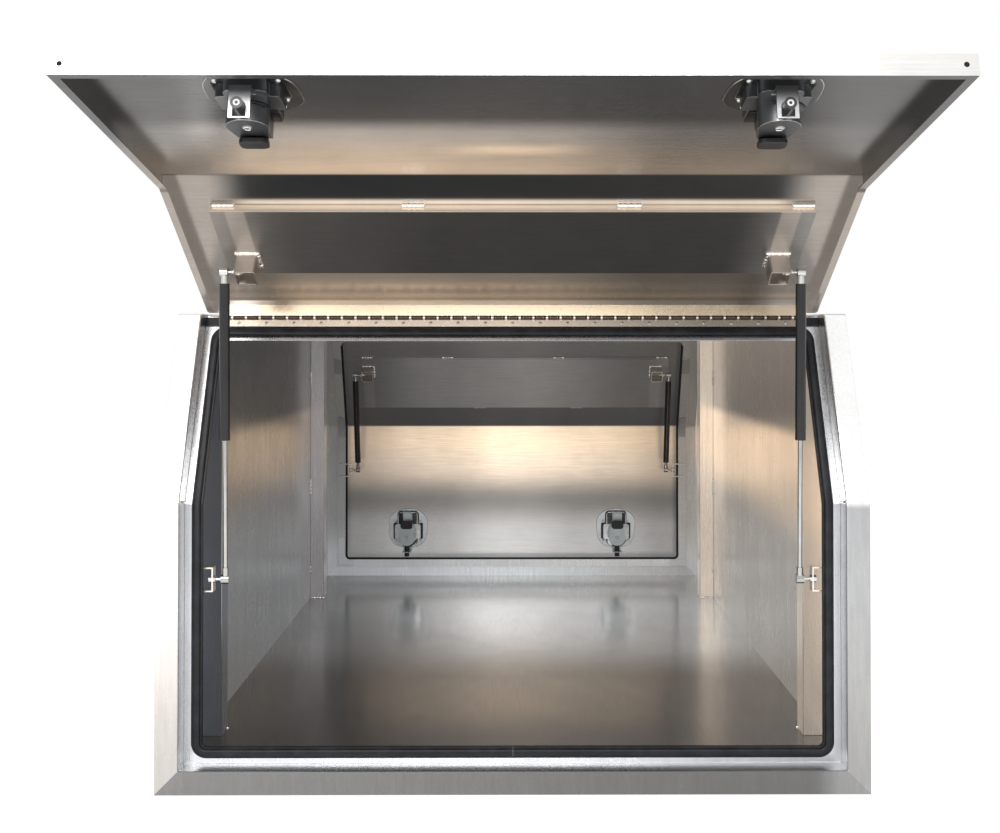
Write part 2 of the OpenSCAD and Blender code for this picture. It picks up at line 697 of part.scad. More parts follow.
// Folding handle with a wide tail and a lock barrel, lifted about its pin
module handle() {
    tail_y = dish_mid_y - dish_mid_h / 2 + 4;
    translate([0, pivot_w, -pivot_n]) rotate([-handle_lift, 0, 0]) translate([0, -pivot_w, pivot_n]) {
        difference() {
            union() {
                slab(1, 4) {
                    translate([-stem_w / 2, tail_y + 5]) square([stem_w, pivot_w - tail_y - 5]);
                    translate([0, tail_y + 10]) rounded_square(tail_w, 20, 9);
                }
                translate([-stem_w / 2, pivot_w, -pivot_n]) rotate([0, 90, 0]) cylinder(h = stem_w, r = 5);
                slab(1, 13) translate([0, 6]) circle(9);
            }
            translate([-stem_w, pivot_w, -pivot_n]) rotate([0, 90, 0])
                cylinder(h = 2 * stem_w, r = pivot_r + pivot_fit);
        }
    }
}
module front_left_handle() color("gainsboro") front_door() at_latch(-latch_x) handle();
module front_right_handle() color("gainsboro") front_door() at_latch(latch_x) handle();
module rear_left_handle() color("gainsboro") rear_door() at_latch(-latch_x) handle();
module rear_right_handle() color("gainsboro") rear_door() at_latch(latch_x) handle();

floor_panel();
roof_panel();
left_wall();
right_wall();
front_frame();
rear_frame();
corner_gussets();
wall_posts();
front_seal();
rear_seal();
front_hinge_fixed_leaf();
rear_hinge_fixed_leaf();
hinge_pins();
frame_rivets();
hinge_end_rubbers();
strut_brackets();
lower_ball_studs();
front_door_skin();
front_door_stiffener();
front_hinge_door_leaf();
front_strut_mounts();
front_latch_dishes();
front_latch_rings();
front_latch_housings();
front_latch_knobs();
front_latch_screws();
rear_door_skin();
rear_door_stiffener();
rear_hinge_door_leaf();
rear_strut_mounts();
rear_latch_dishes();
rear_latch_rings();
rear_latch_housings();
rear_latch_knobs();
rear_latch_screws();
front_left_handle();
front_right_handle();
rear_left_handle();
rear_right_handle();
front_left_bolt();
front_right_bolt();
rear_left_bolt();
rear_right_bolt();
front_left_strut_tube();
front_right_strut_tube();
rear_left_strut_tube();
rear_right_strut_tube();
front_left_strut_rod();
front_right_strut_rod();
rear_left_strut_rod();
rear_right_strut_rod();
front_left_strut_socket();
front_right_strut_socket();
rear_left_strut_socket();
rear_right_strut_socket();
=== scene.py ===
"""Canopy toolbox of folded aluminium sheet: front door raised on its gas struts, rear door shut."""
import json
import math
import bmesh
import bpy
from mathutils import Matrix, Vector


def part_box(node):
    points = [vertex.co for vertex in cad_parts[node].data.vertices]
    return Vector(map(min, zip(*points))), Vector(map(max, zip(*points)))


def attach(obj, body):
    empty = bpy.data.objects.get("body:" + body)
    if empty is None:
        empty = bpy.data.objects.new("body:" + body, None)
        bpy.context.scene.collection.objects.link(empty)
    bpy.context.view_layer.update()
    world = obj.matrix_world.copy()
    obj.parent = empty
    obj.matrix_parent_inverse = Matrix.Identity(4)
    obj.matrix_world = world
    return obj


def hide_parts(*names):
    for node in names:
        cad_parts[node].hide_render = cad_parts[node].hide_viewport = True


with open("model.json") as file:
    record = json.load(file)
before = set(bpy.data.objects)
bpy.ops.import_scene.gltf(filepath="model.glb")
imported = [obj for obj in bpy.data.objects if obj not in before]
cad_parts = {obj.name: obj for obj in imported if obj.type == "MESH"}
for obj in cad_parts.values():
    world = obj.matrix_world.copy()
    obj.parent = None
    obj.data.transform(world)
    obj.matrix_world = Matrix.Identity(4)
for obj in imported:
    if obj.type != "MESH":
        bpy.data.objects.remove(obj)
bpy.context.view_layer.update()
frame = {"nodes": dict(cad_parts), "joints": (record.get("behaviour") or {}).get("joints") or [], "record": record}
nodes = frame["nodes"]
bodies = {node: body for body, held in frame["record"]["behaviour"]["bodies"].items() for node in held}


def place_camera():
    """Camera at the photograph's place, low in front of the open door."""
    camera = bpy.data.cameras.new("photo_camera")
    camera.lens = 40.54
    camera.sensor_width = 36
    camera.shift_x = -0.0160
    camera.shift_y = -0.0865
    eye = bpy.data.objects.new("photo_camera", camera)
    bpy.context.scene.collection.objects.link(eye)
    ahead = Vector((0.0045, 1, 0.0127)).normalized()
    right = ahead.cross(Vector((0, 0, 1))).normalized()
    up = right.cross(ahead)
    eye.matrix_world = Matrix((
        (right.x, up.x, -ahead.x, -0.0035),
        (right.y, up.y, -ahead.y, -2.7805),
        (right.z, up.z, -ahead.z, 0.7530),
        (0, 0, 0, 1)))
    bpy.context.scene.camera = eye


place_camera()

# Sizes that the scene's own details are set by, in metres
half_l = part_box("rear_frame")[1].y
half_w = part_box("right_wall")[1].x
roof_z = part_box("roof_panel")[1].z
fold_z = 0.488
slope_in = 0.136
lean = math.atan2(slope_in, roof_z - fold_z)
sin_lean, cos_lean = math.sin(lean), math.cos(lean)
sheet = 0.0025
face_w = 0.040
rebate_x = half_w - face_w
door_z = face_w + 0.003
door_d = 0.028
latch_x = 0.337
latch_z = 0.157
dish_d = 0.022
bolt_n = 0.050
bolt_tip = 0.083
# Along the slope from the fold: its middle, the stiffener's edges, and the strut mounts' middle
mid_s = math.hypot(slope_in, roof_z - fold_z) / 2
pan_low = mid_s - 0.0995
pan_high = pan_low + 0.168
pan_d = 0.018
stub_s = mid_s + 0.028
stub_half = 0.018
stub_x = 0.4935 - 0.0205 - stub_half

swing = next(joint for joint in frame["joints"] if joint["name"] == "front_door_swing")
hinge = Vector(swing["pos_m"])
opened = (Matrix.Translation(hinge) @ Matrix.Rotation(math.radians(-100), 4, "X")
          @ Matrix.Translation(-hinge))
mirrored = Matrix.Diagonal((1, -1, 1, 1))
# Door axes: across, up the panel, and in from the outer face, for the front end with its door shut
upright = Matrix(((1, 0, 0, 0), (0, 0, 1, -half_l), (0, 1, 0, 0), (0, 0, 0, 1)))
slope = Matrix((
    (1, 0, 0, 0), (0, sin_lean, cos_lean, -half_l), (0, cos_lean, -sin_lean, fold_z), (0, 0, 0, 1)))
to_end = {"front": Matrix.Identity(4), "rear": mirrored}
to_door = {"front": opened, "rear": mirrored}


def depth_at(point, turn=Matrix.Identity(4)):
    """How far a point lies in from the outer face of the front end."""
    shut = turn.inverted() @ point
    back = shut.y + half_l
    return min(back, back * cos_lean - (shut.z - fold_z) * sin_lean)


class Socket:
    """An output socket that takes arithmetic: each operator adds its Math node."""

    def __init__(self, tree, link):
        self.tree = tree
        self.link = link

    def maths(self, operation, *others):
        node = self.tree.nodes.new("ShaderNodeMath")
        node.operation = operation
        for place, value in enumerate((self, *others)):
            connect(self.tree, node.inputs[place], value)
        return Socket(self.tree, node.outputs[0])

    def __add__(self, other):
        return self.maths("ADD", other)

    __radd__ = __add__

    def __mul__(self, other):
        return self.maths("MULTIPLY", other)

    __rmul__ = __mul__

    def __sub__(self, other):
        return self.maths("SUBTRACT", other)

    def __rsub__(self, other):
        return (self * -1).maths("ADD", other)

    def __abs__(self):
        return self.maths("ABSOLUTE")

    def ramp(self, low, high):
        """0 below low, 1 above high, smooth between them."""
        node = self.tree.nodes.new("ShaderNodeMapRange")
        node.interpolation_type = "SMOOTHSTEP"
        connect(self.tree, node.inputs["Value"], self)
        node.inputs["From Min"].default_value = low
        node.inputs["From Max"].default_value = high
        return Socket(self.tree, node.outputs["Result"])

    def bump_round(self, centre, half):
        """1 at centre, falling to 0 at half away on both sides."""
        return 1 - abs(self - centre).ramp(0, half)


def connect(tree, socket, value):
    if isinstance(value, Socket):
        tree.links.new(value.link, socket)
    elif isinstance(value, tuple) and len(value) == 3 and socket.type == "RGBA":
        socket.default_value = (*value, 1)
    else:
        socket.default_value = value


class Finish:
    """A material under construction, read in the object's own metres."""

    def __init__(self, name):
        self.material = bpy.data.materials.new(name)
        self.material.use_nodes = True
        self.tree = self.material.node_tree
        self.shader = self.tree.nodes["Principled BSDF"]
        place = self.add("ShaderNodeTexCoord")
        self.place = Socket(self.tree, place.outputs["Object"])
        split = self.add("ShaderNodeSeparateXYZ", inputs={"Vector": self.place})
        self.x, self.y, self.z = (Socket(self.tree, o) for o in split.outputs)

    def add(self, kind, settings=None, inputs=None):
        node = self.tree.nodes.new(kind)
        for name, value in (settings or {}).items():
            setattr(node, name, value)
        for name, value in (inputs or {}).items():
            connect(self.tree, node.inputs[name], value)
        return node

    def out(self, node, name=0):
        return Socket(self.tree, node.outputs[name])

    def noise(self, scale, detail=2, roughness=0.5, stretch=(1, 1, 1)):
        moved = self.add("ShaderNodeMapping", inputs={"Vector": self.place, "Scale": stretch})
        node = self.add("ShaderNodeTexNoise", inputs={
            "Vector": self.out(moved), "Scale": scale, "Detail": detail, "Roughness": roughness})
        return self.out(node, "Fac")

    def mix(self, amount, first, second, blend="MIX"):
        node = self.add("ShaderNodeMix", {"data_type": "RGBA", "blend_type": blend})
        connect(self.tree, node.inputs["Factor"], amount)
        connect(self.tree, node.inputs[6], first)
        connect(self.tree, node.inputs[7], second)
        return Socket(self.tree, node.outputs[2])

    def tones(self, along, stops):
        """Colour that changes softly through (place in metres, grey, warmth) stops."""
        low, high = stops[0][0], stops[-1][0]
        span = self.add("ShaderNodeMapRange", inputs={"Value": along, "From Min": low, "From Max": high})
        node = self.add("ShaderNodeValToRGB", inputs={"Fac": self.out(span)})
        band = node.color_ramp
        band.interpolation = "EASE"
        for place, grey, warmth in stops[1:-1]:
            band.elements.new((place - low) / (high - low)).color = (*warm(grey, warmth), 1)
        band.elements[0].color = (*warm(*stops[0][1:]), 1)
        band.elements[-1].color = (*warm(*stops[-1][1:]), 1)
        return self.out(node)

    def bump(self, height, distance, strength=1):
        node = self.add("ShaderNodeBump", inputs={
            "Height": height, "Distance": distance, "Strength": strength})
        connect(self.tree, self.shader.inputs["Normal"], self.out(node))

    def set(self, **values):
        for name, value in values.items():
            connect(self.tree, self.shader.inputs[name.replace("_", " ")], value)
        return self


bright_sheet = (0.64, 0.635, 0.62)
along_x = (1.2, 60, 60)
# Depth in from the outer face over which a sheet's outside turns to its inside
skin = (0.0010, 0.0014)


def warm(grey, warmth):
    """A grey turned towards cream, or towards blue where warmth is negative."""
    return (grey, grey * (1 - 0.20 * warmth), grey * (1 - 0.39 * warmth))


def rolled(f, colour, rough, grain, glow=0.0, inside=None, marks=0.22):
    """Mill finish: rolling streaks, soft clouding, faint rub marks, on a metal of that colour.

    Glow is the share of the colour that the sheet gives off as light of its own where inside is 1: it
    stands in for the bright surroundings that the sheets of a real workshop mirror.
    """
    streak = f.noise(9, 4, 0.6, grain)
    cloud = f.noise(3.1, 3, 0.55)
    smear = f.noise(14, 3, 0.6)
    fine = f.noise(260, 2, 0.5)
    shade = streak * 0.45 + cloud * 0.3 + smear * 0.25
    worn = f.mix(shade.ramp(0.30, 0.70) * marks, colour, (0, 0, 0))
    f.set(Base_Color=worn, Metallic=1, Roughness=rough + (cloud - 0.5) * 0.14 + (streak - 0.5) * 0.12)
    if inside is not None:
        f.set(Emission_Color=f.mix(inside * glow, (0, 0, 0), worn), Emission_Strength=1)
    f.bump(streak * 0.7 + fine * 0.3, 0.0005, 0.10)
    return f.material


up_and_down = (60, 60, 1.2)
cabinet_sheet = rolled(Finish("cabinet_sheet"), bright_sheet, 0.30, up_and_down)
edge_sheet = rolled(Finish("folded_edge"), (0.66, 0.655, 0.65), 0.30, up_and_down)


def door_axes(f, end, turns=to_door):
    """Height, depth and place along the slope on the shut door, as sockets."""
    turn = turns[end].inverted()
    back, height = (f.y * turn[row][1] + f.z * turn[row][2] + turn[row][3] for row in (1, 2))
    back = back + half_l
    leaning = back * cos_lean - (height - fold_z) * sin_lean
    along = back * sin_lean + (height - fold_z) * cos_lean
    return height, back.maths("MINIMUM", leaning), along


def shares(f, left, middle, right, ends):
    """How strongly the painted reflection bands show across the panel: at its left, its middle, its right and both
    ends.
    """
    over = f.x.ramp(-0.22, -0.03) * (middle - left) + f.x.ramp(0.03, 0.25) * (right - middle) + left
    return over * (1 - abs(f.x).ramp(0.36, 0.50) * (1 - ends))


def door_finish(end, glow, bands, across):
    """Door sheet painted with reflections: a few soft bands up the panel on a dim ground, which fade towards its
    sides; its lower rim carries a painted highlight.
    """
    f = Finish(end + "_door_sheet")
    height, depth, _ = door_axes(f, end)
    inner = f.mix(shares(f, *across), warm(0.05, 0.2), f.tones(height, bands))
    if end == "front":
        # Painted highlight in the middle, and on the slope a painted reflection line below the stiffener and paler
        # painted strips beside it
        painted_highlight = f.x.bump_round(0, 0.14) * height.bump_round(0.375, 0.035)
        inner = f.mix(painted_highlight * 0.6, inner, warm(0.80, 1.1))
        beside = abs(f.x).ramp(0.42, 0.50)
        inner = f.mix(height.bump_round(0.550, 0.011) * (1 - beside), inner, warm(0.62, 0.55))
        inner = f.mix(beside * height.ramp(0.486, 0.492), inner, warm(0.24, 0.5))
    rim_highlight = 1 - height.ramp(door_z + 0.0004, door_z + 0.0008)
    inside = depth.ramp(*skin) * (1 - rim_highlight)
    outside = f.mix(rim_highlight, (0.66, 0.655, 0.64), (0.93, 0.92, 0.90))
    return rolled(f, f.mix(inside, outside, inner), 0.24, along_x, glow, inside)


front_door_sheet = door_finish(
    "front", 0.7,
    [(.05, .07, 0), (.24, .045, 0), (.31, .37, .4), (.40, .48, .9), (.484, .58, 1), (.490, .037, 0),
     (.54, .04, 0), (.72, .30, .9), (.80, .30, 1)],
    (1, 0.80, 0.33, 0.25))
rear_door_sheet = door_finish(
    "rear", 0.6,
    [(.05, .56, 0), (.15, .54, .1), (.25, .26, .3), (.36, .78, .9), (.44, .87, 1.1), (.484, .80, 1.1),
     (.490, .09, .2), (.80, .15, .2)],
    (0.74, 1, 0.74, 0.72))


def stiffener_finish(end, glow, stops):
    """Stiffener sheet painted with reflections: tones along it, and the strut mounts' soft mirror image painted
    beside them.
    """
    f = Finish(end + "_stiffener_sheet")
    _, depth, along = door_axes(f, end)
    # Painted reflection of each strut mount: a paler strip beside it
    beside = 1 - abs(abs(f.x) - stub_x).ramp(0.013, 0.019)
    image = beside * (1 - along.ramp(stub_s - 0.024, stub_s - 0.016)) * (0.6 if end == "front" else 0.08)
    colour = f.mix(image, f.tones(f.x, stops), warm(.34, .6))
    return rolled(f, colour, 0.34, along_x, glow, depth.ramp(0, 0.001))


front_stiffener = stiffener_finish("front", 0.7, [
    (-.50, .19, .5), (-.35, .085, .3), (-.1, .058, .3), (.36, .05, .1), (.50, .18, .3)])
rear_stiffener = stiffener_finish("rear", 0.7, [
    (-.50, .08, .2), (-.25, .17, .2), (.05, .21, .2), (.42, .11, .3), (.50, .13, .3)])
# The stiffener's walls that face down the slope: painted light, cream and glowing all over
painted_lit_wall = rolled(Finish("stiffener_wall_painted_light"), warm(.62, .8), 0.3, along_x, 0.5, 1)


def gusset_finish():
    f = Finish("gusset_sheet")
    # Painted light and shade: paler at the foot, darker higher up; the sheet glows with half its colour
    up = f.tones(f.z, [(0, .46, -.1), (.40, .24, 0), (.50, .15, 0), (.85, .14, .1)])
    return rolled(f, up, 0.3, along_x, 0.5, 1)


gusset_sheet = gusset_finish()


def wall_finish(name, stops):
    f = Finish(name)
    # Inside painted with reflection bands up the wall, glowing with a share of its colour; outside plain
    outer = abs(f.x).ramp(half_w - skin[1], half_w - skin[0])
    colour = f.mix(outer, f.tones(f.z, stops), bright_sheet)
    return rolled(f, colour, 0.27, (6, 2.4, 0.5), 0.65, 1 - outer, 0.12)


# Painted reflections and shade: the left wall darker, the right wall lit brighter
left_sheet = wall_finish("left_wall_sheet", [
    (0, .165, -.1), (.34, .155, 0), (.46, .185, .9), (.545, .18, 1), (.58, .07, .4), (.80, .055, .1)])
right_sheet = wall_finish("right_wall_sheet", [
    (0, .29, .3), (.31, .31, .4), (.43, .60, 1), (.545, .59, 1), (.58, .19, .6), (.80, .27, .7)])


def floor_finish():
    f = Finish("floor_sheet")
    # Painted reflection bands along the floor, with painted shade darker towards its left side
    bands = f.tones(f.y, [
        (-.87, .14, .2), (-.25, .13, .3), (.07, .36, 0), (.41, .33, -.1), (.67, .21, .1), (.87, .21, .1)])
    top = f.mix(f.x.ramp(-0.42, -0.02) * 0.66 + 0.34, warm(0.015, 0), bands)
    inside = f.z.ramp(*skin)
    return rolled(f, f.mix(1 - inside, top, bright_sheet), 0.17, (50, 1.4, 50), 0.5, inside)


floor_sheet = floor_finish()


def frame_finish(end, sill, left, right, upper, glow=0.0):
    """Frame sheet painted with light and reflections: sill, the two lower jambs and the sloping jambs each get
    their own painted tone.
    """
    f = Finish(end + "_frame_sheet")
    _, depth, _ = door_axes(f, end, to_end)
    side = f.mix(f.x.ramp(-0.1, 0.1), f.tones(f.z, left), f.tones(f.z, right))
    side = f.mix(f.z.ramp(fold_z - 0.012, fold_z + 0.002), side, upper)
    mitre = (half_w - abs(f.x)).maths("MINIMUM", face_w)
    low = f.mix((f.z - mitre).ramp(-0.0006, 0.0006), f.tones(f.x, sill), side)
    if end == "front":
        low = f.mix(depth.ramp(0.0010, 0.0030), low, (.62, .63, .65))
    else:
        low = f.mix(depth.ramp(*skin), (.58, .575, .56), low)
    return rolled(f, low, 0.28, (14, 30, 1.6), glow, depth.ramp(*skin), 0.14)


front_frame_sheet = frame_finish(
    "front", [(-.64, .26, 0), (.50, .18, 0), (.555, .32, -.05), (.64, .33, -.05)],
    [(.04, .58, .2), (.42, .90, .3), (.5, .93, 0)], [(.04, .38, 0), (.5, .46, -.1)], (.95, .95, .95))
rear_frame_sheet = frame_finish(
    "rear", [(-.64, .42, -.2), (0, .48, -.2), (.64, .36, 0)],
    [(.04, .40, -.1), (.2, .24, 0), (.5, .18, .1)], [(.04, .44, 0), (.2, .32, .2), (.5, .26, .3)],
    (.17, .165, .155), 0.6)


def post_finish():
    f = Finish("post_sheet")
    # Painted light and shade: on the left, dark at the front and paler at the rear; on the right, warm and bright
    left = f.mix(f.y.ramp(-0.1, 0.1), (.15, .16, .18), (.38, .365, .37))
    colour = f.mix(f.x.ramp(-0.1, 0.1), left, (.76, .67, .57))
    return rolled(f, colour, 0.28, (18, 18, 0.5), 0.3, 1, 0.12)


post_sheet = post_finish()


def plain_finish(name, colour, metallic, rough, grain=0.1):
    f = Finish(name)
    cloud = f.noise(40, 3)
    fine = f.noise(900, 2)
    f.set(Base_Color=f.mix(cloud.ramp(0.3, 0.7), tuple(c * 0.88 for c in colour), colour),
          Metallic=metallic, Roughness=rough + (cloud - 0.5) * grain)
    f.bump(fine, 0.0002, 0.2)
    return f.material


steel = plain_finish("zinc_steel", (0.64, 0.64, 0.62), 1, 0.30)
rod_steel = plain_finish("bright_rod", (0.46, 0.455, 0.44), 1, 0.14, 0.04)
strut_paint = plain_finish("strut_paint", (0.016, 0.016, 0.017), 0, 0.20)
black_plastic = plain_finish("black_plastic", (0.012, 0.012, 0.013), 0, 0.35)
latch_zinc = plain_finish("latch_zinc", (0.50, 0.55, 0.57), 1, 0.36)
latch_chrome = plain_finish("latch_chrome", (0.85, 0.86, 0.86), 1, 0.14)
ring_steel = plain_finish("clamp_ring_steel", (0.72, 0.76, 0.80), 1, 0.34)
# The front latch's rings, cases and dishes: darker copies of the rear's metals, painted shade under the raised
# door
shaded_front_ring = plain_finish("front_ring_painted_shade", (0.10, 0.10, 0.10), 1, 0.3)
shaded_front_zinc = plain_finish("front_zinc_painted_shade", (0.20, 0.21, 0.22), 1, 0.36)
guide_zinc = plain_finish("guide_zinc", (0.42, 0.43, 0.45), 1, 0.34)
mount_sheet = plain_finish("mount_sheet", (0.82, 0.76, 0.70), 1, 0.32)
dark_steel = plain_finish("dark_steel", (0.06, 0.06, 0.065), 1, 0.35)
white_core = plain_finish("white_core", (0.80, 0.82, 0.84), 0, 0.45)
weld_metal = plain_finish("weld_metal", (0.95, 0.92, 0.88), 1, 0.24, 0.3)


def rubber_finish():
    """Black rubber, dulled by dust, with the butt joint of its two ends at the middle of the sill."""
    f = Finish("seal_rubber")
    dust = f.noise(30, 4, 0.6)
    fine = f.noise(700, 2)
    joint = f.x.bump_round(0, 0.0016) * (1 - f.z.ramp(0.10, 0.12))
    colour = f.mix(dust.ramp(0.35, 0.75), (0.010, 0.011, 0.014), (0.026, 0.028, 0.034))
    f.set(Base_Color=f.mix(joint, colour, (0.10, 0.10, 0.10)), Roughness=0.42 + (dust - 0.5) * 0.2,
          Specular_IOR_Level=0.25)
    f.bump(fine * 0.3 + joint, 0.0004, 0.4)
    return f.material


rubber = rubber_finish()


def knuckle_finish(name, leaf, glow, fade):
    """Hinge leaf: bright on the flat with painted shade towards its right end, dark brown round the pin, with
    painted glints between the knuckles; it glows with a share of its colour.
    """
    f = Finish(name)
    rise = f.z - hinge.z
    run = abs(f.y) - abs(hinge.y)
    near_pin = 1 - (rise * rise + run * run).maths("SQRT").ramp(0.0042, 0.0050)
    glint = 1 - abs((f.x * 40).maths("FRACT") - 0.5).ramp(0.05, 0.10)
    cloud = f.noise(60, 3)
    dark = f.mix(glint * 0.8, (0.060, 0.045, 0.036), (0.8, 0.74, 0.66))
    painted_falloff = f.mix(f.x.ramp(-0.1, 0.45), leaf, tuple(c * fade for c in leaf))
    colour = f.mix(near_pin, painted_falloff, dark)
    f.set(Base_Color=colour, Metallic=1, Roughness=0.26 + (cloud - 0.5) * 0.14,
          Emission_Color=f.mix(1, colour, (glow, glow, glow), "MULTIPLY"), Emission_Strength=1)
    return f.material


fixed_leaf_metal = knuckle_finish("fixed_leaf_metal", (0.84, 0.72, 0.60), 0.5, 0.35)
leaf_metal = knuckle_finish("door_leaf_metal", (0.56, 0.46, 0.34), 0.1, 0.95)


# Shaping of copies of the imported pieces

def select_only(piece):
    bpy.ops.object.select_all(action="DESELECT")
    piece.select_set(True)
    bpy.context.view_layer.objects.active = piece


def pick_edges(piece, test, sharper):
    """Selects the edges sharper than an angle whose middle passes the test."""
    bpy.ops.mesh.select_all(action="DESELECT")
    bpy.context.tool_settings.mesh_select_mode = (False, True, False)
    shape = bmesh.from_edit_mesh(piece.data)
    shape.normal_update()
    for edge in shape.edges:
        if edge.is_manifold and edge.calc_face_angle(0) > math.radians(sharper):
            if test((edge.verts[0].co + edge.verts[1].co) / 2):
                edge.select_set(True)
    bmesh.update_edit_mesh(piece.data)


def dressed(name, finishes, folds=(), crisp=0.0, sheet_like=False):
    """A copy of a node that replaces it, its folds rounded: folds holds (test, radius, least angle).

    Crisp is the width of the small bevel on all its other sharp edges.
    """
    piece = bpy.data.objects.new(name + "_dressed", nodes[name].data.copy())
    bpy.context.scene.collection.objects.link(piece)
    select_only(piece)
    bpy.ops.object.mode_set(mode="EDIT")
    bpy.ops.mesh.select_all(action="SELECT")
    bpy.ops.mesh.remove_doubles(threshold=0.00001)
    bpy.ops.mesh.dissolve_limited(angle_limit=math.radians(0.4))
    for test, radius, sharper in folds:
        pick_edges(piece, test, sharper)
        bpy.ops.mesh.bevel(offset=radius, segments=3, affect="EDGES", clamp_overlap=False, material=1)
    bpy.ops.object.mode_set(mode="OBJECT")
    piece.data.materials.clear()
    for finish in finishes:
        piece.data.materials.append(finish)
    if crisp:
        soft = piece.modifiers.new("crisp", "BEVEL")
        soft.width = crisp
        soft.segments = 2
        soft.material = 1
        soft.limit_method = "ANGLE"
        soft.angle_limit = math.radians(40)
        bpy.ops.object.modifier_apply(modifier="crisp")
    bpy.ops.object.shade_smooth_by_angle(angle=math.radians(35))
    flat_fields(piece, math.radians(15 if sheet_like else 35))
    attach(piece, bodies[name])
    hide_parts(name)
    return piece


def flat_fields(piece, least):
    """Keeps the fields between rounded folds flat: their borders stay sharp.

    Below 30 degrees, as on a sheet, its wide fields shade flat too.
    """
    beside = {}
    for face in piece.data.polygons:
        for key in face.edge_keys:
            beside.setdefault(key, []).append(face)
    for edge in piece.data.edges:
        faces = beside.get(edge.key, ())
        if len(faces) == 2:
            first, second = faces
            mixed = first.material_index != second.material_index
            if mixed or first.material_index == 0 and first.normal.angle(second.normal, 0) > least:
                edge.use_edge_sharp = True
    if least < math.radians(30):
        for face in piece.data.polygons:
            if face.material_index == 0 and face.area > 0.0004:
                face.use_smooth = False


def near(value, target, within=0.0003):
    return abs(value - target) < within


def frame_fold(end):
    """Tests for the frame's folded edges on its outer face, at one end."""
    def test(point):
        spot = to_end[end] @ point
        on_face = near(depth_at(spot), 0)
        inner = near(abs(spot.x), rebate_x) and spot.z > face_w - 0.001
        sill = near(spot.z, face_w) and abs(spot.x) < rebate_x + 0.001
        return on_face and (inner or sill)
    return test


def frame_rim(end):
    """Test for the rim of the frame's outer face, at its sides and along the floor."""
    def test(point):
        spot = to_end[end] @ point
        return near(depth_at(spot), 0) and (near(abs(spot.x), half_w) or near(spot.z, 0))
    return test


for end, sheet_finish in (("front", front_frame_sheet), ("rear", rear_frame_sheet)):
    dressed(end + "_frame", (sheet_finish, edge_sheet), (
        (frame_fold(end), 0.0026, 40), (frame_rim(end), 0.0018, 40)), crisp=0.0006, sheet_like=True)


for end, pan_finish in (("front", front_stiffener), ("rear", rear_stiffener)):
    pan = dressed(end + "_door_stiffener", (pan_finish, pan_finish, painted_lit_wall), crisp=0.0009)
    # Faces turned down the slope take the painted light
    up_slope = (to_door[end] @ slope).to_3x3() @ Vector((0, 1, 0))
    for face in pan.data.polygons:
        if face.normal.dot(up_slope) < -0.9:
            face.material_index = 2


def seal_edge(end, depth):
    """Test for the edges of the seal's face that lies so deep in from the outer face."""
    def test(point):
        return near(depth_at(to_end[end] @ point), depth, 0.0004)
    return test


for end in ("front", "rear"):
    dressed(end + "_seal", (rubber, rubber), ((seal_edge(end, door_d + 0.0005), 0.0036, 60),))

for name in nodes:
    if name.endswith("_housings"):
        case = dressed(name, (latch_zinc if "rear" in name else shaded_front_zinc, edge_sheet, guide_zinc), crisp=0.0008)
        turn = to_door[name.split("_")[0]]
        down = (turn @ upright).to_3x3() @ Vector((0, -1, 0))
        for face in case.data.polygons:
            if face.normal.dot(down) > 0.95:
                face.material_index = 2
    elif name.endswith("_knobs"):
        dressed(name, (black_plastic, black_plastic), crisp=0.0012)
    elif name.endswith("_handle"):
        dressed(name, (latch_chrome, latch_chrome), crisp=0.0008)
    elif name.endswith("_strut_mounts") or name == "strut_brackets":
        dressed(name, (mount_sheet, edge_sheet), crisp=0.0006)
    elif name == "corner_gussets":
        dressed(name, (gusset_sheet, edge_sheet), crisp=0.0007)
    elif name == "wall_posts":
        dressed(name, (post_sheet, edge_sheet), crisp=0.0009)
    elif name.endswith("_rings"):
        dressed(name, (ring_steel, dark_steel) if "rear" in name else (shaded_front_ring, edge_sheet), crisp=0.0009)


def latch_dishes(end):
    """Dishes, chrome on the rear door and in painted shade on the front one, with the bezel's inner face black."""
    metal = latch_chrome if end == "rear" else shaded_front_zinc
    dishes = dressed(end + "_latch_dishes", (metal, edge_sheet, black_plastic), crisp=0.0005)
    turn = to_door[end]
    inward = (turn @ upright).to_3x3() @ Vector((0, 0, 1))
    for face in dishes.data.polygons:
        if face.normal.dot(inward) > 0.9 and near(depth_at(face.center, turn), 0, 0.0002):
            face.material_index = 2


for end in ("front", "rear"):
    latch_dishes(end)

node_finish = {
    "front_door_skin": front_door_sheet, "rear_door_skin": rear_door_sheet, "floor_panel": floor_sheet,
    "left_wall": left_sheet, "right_wall": right_sheet, "frame_rivets": steel, "hinge_pins": steel,
    "lower_ball_studs": steel, "hinge_end_rubbers": rubber}
ending_finish = {
    "hinge_fixed_leaf": fixed_leaf_metal, "hinge_door_leaf": leaf_metal, "strut_tube": strut_paint,
    "strut_rod": rod_steel, "strut_socket": steel, "screws": steel, "bolt": black_plastic}
for name, node in nodes.items():
    finish = node_finish.get(name, cabinet_sheet)
    for ending, metal in ending_finish.items():
        if name.endswith(ending):
            finish = metal
    node.data.materials.clear()
    node.data.materials.append(finish)


# New details: welds, latch levers, bolt cores

def finished(piece, name, finish, body):
    piece.name = name
    piece.data.name = name
    piece.data.materials.clear()
    piece.data.materials.append(finish)
    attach(piece, body)
    return piece


def settled(piece):
    """Moves the object's place into its mesh."""
    piece.data.transform(piece.matrix_world)
    piece.matrix_world = Matrix.Identity(4)
    return piece


def joined(pieces):
    bpy.ops.object.select_all(action="DESELECT")
    for piece in pieces:
        piece.select_set(True)
    bpy.context.view_layer.objects.active = pieces[0]
    if len(pieces) > 1:
        bpy.ops.object.join()
    return bpy.context.view_layer.objects.active


def placed(mesh, matrix):
    """A copy of a mesh at a place, with its faces kept outwards."""
    copy = mesh.copy()
    copy.transform(matrix)
    if matrix.determinant() < 0:
        copy.flip_normals()
    piece = bpy.data.objects.new("copy", copy)
    bpy.context.scene.collection.objects.link(piece)
    return piece


